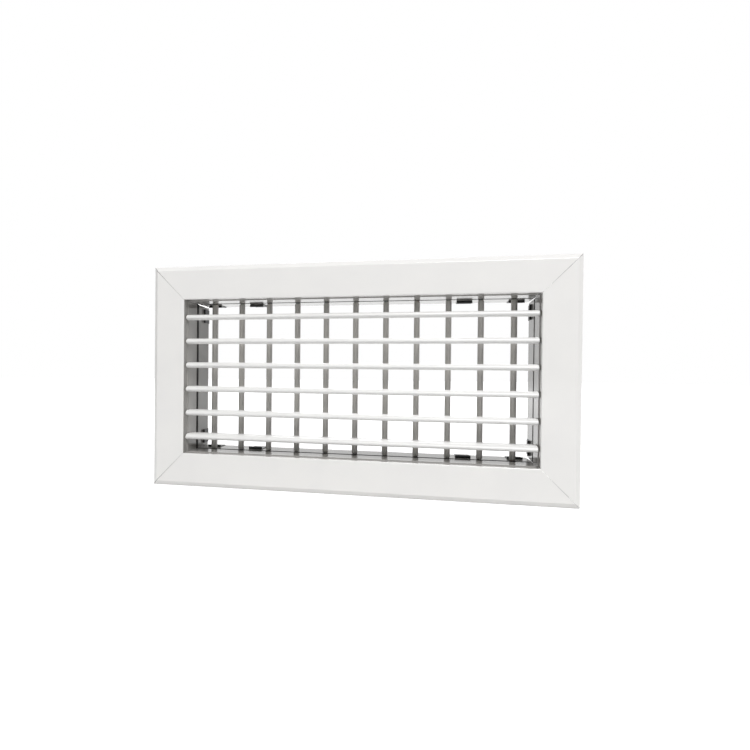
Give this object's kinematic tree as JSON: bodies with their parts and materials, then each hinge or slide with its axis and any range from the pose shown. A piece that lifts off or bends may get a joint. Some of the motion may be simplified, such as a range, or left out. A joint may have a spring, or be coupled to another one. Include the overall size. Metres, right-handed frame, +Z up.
{
  "type": "supply air grille",
  "caption": "White supply air grille: mitred flange frame with a neck, crossed front and rear rows of blades that each turn on pivots.",
  "frame": {"origin": "centre of the opening on the wall plane that the flange rim seats on", "axes": "+X to the right along the wall, +Y from the room into the duct, +Z up"},
  "size_m": [0.3666, 0.0508, 0.2],
  "materials": {
    "frame_paint": "satin white powder coat on aluminium extrusion",
    "front_blade_paint": "satin white powder coat on aluminium extrusion",
    "rear_blade_paint": "satin grey coat on aluminium extrusion",
    "nylon": "natural nylon",
    "clip_steel": "black-finished spring steel",
    "plate_steel": "galvanised steel"
  },
  "bodies": {
    "frame": {"corner_plate_bottom_left": "plate_steel", "corner_plate_bottom_right": "plate_steel", "corner_plate_top_left": "plate_steel", "corner_plate_top_right": "plate_steel", "edge_clips_bottom": "clip_steel", "edge_clips_left": "clip_steel", "edge_clips_right": "clip_steel", "edge_clips_top": "clip_steel", "frame_bottom": "frame_paint", "frame_left": "frame_paint", "frame_right": "frame_paint", "frame_top": "frame_paint", "front_bushes_left": "nylon", "front_bushes_right": "nylon", "mounting_springs_bottom": "clip_steel", "mounting_springs_top": "clip_steel", "rear_bushes_bottom": "nylon", "rear_bushes_top": "nylon"},
    "front_blade_1": {"front_blade_1": "front_blade_paint", "front_pivots_1": "nylon"},
    "front_blade_2": {"front_blade_2": "front_blade_paint", "front_pivots_2": "nylon"},
    "front_blade_3": {"front_blade_3": "front_blade_paint", "front_pivots_3": "nylon"},
    "front_blade_4": {"front_blade_4": "front_blade_paint", "front_pivots_4": "nylon"},
    "front_blade_5": {"front_blade_5": "front_blade_paint", "front_pivots_5": "nylon"},
    "front_blade_6": {"front_blade_6": "front_blade_paint", "front_pivots_6": "nylon"},
    "rear_blade_1": {"rear_blade_1": "rear_blade_paint", "rear_pivots_1": "nylon"},
    "rear_blade_2": {"rear_blade_2": "rear_blade_paint", "rear_pivots_2": "nylon"},
    "rear_blade_3": {"rear_blade_3": "rear_blade_paint", "rear_pivots_3": "nylon"},
    "rear_blade_4": {"rear_blade_4": "rear_blade_paint", "rear_pivots_4": "nylon"},
    "rear_blade_5": {"rear_blade_5": "rear_blade_paint", "rear_pivots_5": "nylon"},
    "rear_blade_6": {"rear_blade_6": "rear_blade_paint", "rear_pivots_6": "nylon"},
    "rear_blade_7": {"rear_blade_7": "rear_blade_paint", "rear_pivots_7": "nylon"},
    "rear_blade_8": {"rear_blade_8": "rear_blade_paint", "rear_pivots_8": "nylon"},
    "rear_blade_9": {"rear_blade_9": "rear_blade_paint", "rear_pivots_9": "nylon"},
    "rear_blade_10": {"rear_blade_10": "rear_blade_paint", "rear_pivots_10": "nylon"},
    "rear_blade_11": {"rear_blade_11": "rear_blade_paint", "rear_pivots_11": "nylon"}
  },
  "joints": [
    {"name": "front_blade_1_turn", "type": "hinge", "parent": "frame", "child": "front_blade_1", "pos_m": [0, 0.006, 0.0545], "axis": [1, 0, 0], "range_deg": [-95, 85]},
    {"name": "front_blade_2_turn", "type": "hinge", "parent": "frame", "child": "front_blade_2", "pos_m": [0, 0.006, 0.0327], "axis": [1, 0, 0], "range_deg": [-95, 85]},
    {"name": "front_blade_3_turn", "type": "hinge", "parent": "frame", "child": "front_blade_3", "pos_m": [0, 0.006, 0.0109], "axis": [1, 0, 0], "range_deg": [-95, 85]},
    {"name": "front_blade_4_turn", "type": "hinge", "parent": "frame", "child": "front_blade_4", "pos_m": [0, 0.006, -0.0109], "axis": [1, 0, 0], "range_deg": [-95, 85]},
    {"name": "front_blade_5_turn", "type": "hinge", "parent": "frame", "child": "front_blade_5", "pos_m": [0, 0.006, -0.0327], "axis": [1, 0, 0], "range_deg": [-95, 85]},
    {"name": "front_blade_6_turn", "type": "hinge", "parent": "frame", "child": "front_blade_6", "pos_m": [0, 0.006, -0.0545], "axis": [1, 0, 0], "range_deg": [-95, 85]},
    {"name": "rear_blade_1_turn", "type": "hinge", "parent": "frame", "child": "rear_blade_1", "pos_m": [-0.137, 0.027, 0], "axis": [0, 0, 1], "range_deg": [-90, 90]},
    {"name": "rear_blade_2_turn", "type": "hinge", "parent": "frame", "child": "rear_blade_2", "pos_m": [-0.1096, 0.027, 0], "axis": [0, 0, 1], "range_deg": [-90, 90]},
    {"name": "rear_blade_3_turn", "type": "hinge", "parent": "frame", "child": "rear_blade_3", "pos_m": [-0.0822, 0.027, 0], "axis": [0, 0, 1], "range_deg": [-90, 90]},
    {"name": "rear_blade_4_turn", "type": "hinge", "parent": "frame", "child": "rear_blade_4", "pos_m": [-0.0548, 0.027, 0], "axis": [0, 0, 1], "range_deg": [-90, 90]},
    {"name": "rear_blade_5_turn", "type": "hinge", "parent": "frame", "child": "rear_blade_5", "pos_m": [-0.0274, 0.027, 0], "axis": [0, 0, 1], "range_deg": [-90, 90]},
    {"name": "rear_blade_6_turn", "type": "hinge", "parent": "frame", "child": "rear_blade_6", "pos_m": [0, 0.027, 0], "axis": [0, 0, 1], "range_deg": [-90, 90]},
    {"name": "rear_blade_7_turn", "type": "hinge", "parent": "frame", "child": "rear_blade_7", "pos_m": [0.0274, 0.027, 0], "axis": [0, 0, 1], "range_deg": [-90, 90]},
    {"name": "rear_blade_8_turn", "type": "hinge", "parent": "frame", "child": "rear_blade_8", "pos_m": [0.0548, 0.027, 0], "axis": [0, 0, 1], "range_deg": [-90, 90]},
    {"name": "rear_blade_9_turn", "type": "hinge", "parent": "frame", "child": "rear_blade_9", "pos_m": [0.0822, 0.027, 0], "axis": [0, 0, 1], "range_deg": [-90, 90]},
    {"name": "rear_blade_10_turn", "type": "hinge", "parent": "frame", "child": "rear_blade_10", "pos_m": [0.1096, 0.027, 0], "axis": [0, 0, 1], "range_deg": [-90, 90]},
    {"name": "rear_blade_11_turn", "type": "hinge", "parent": "frame", "child": "rear_blade_11", "pos_m": [0.137, 0.027, 0], "axis": [0, 0, 1], "range_deg": [-90, 90]}
  ]
}
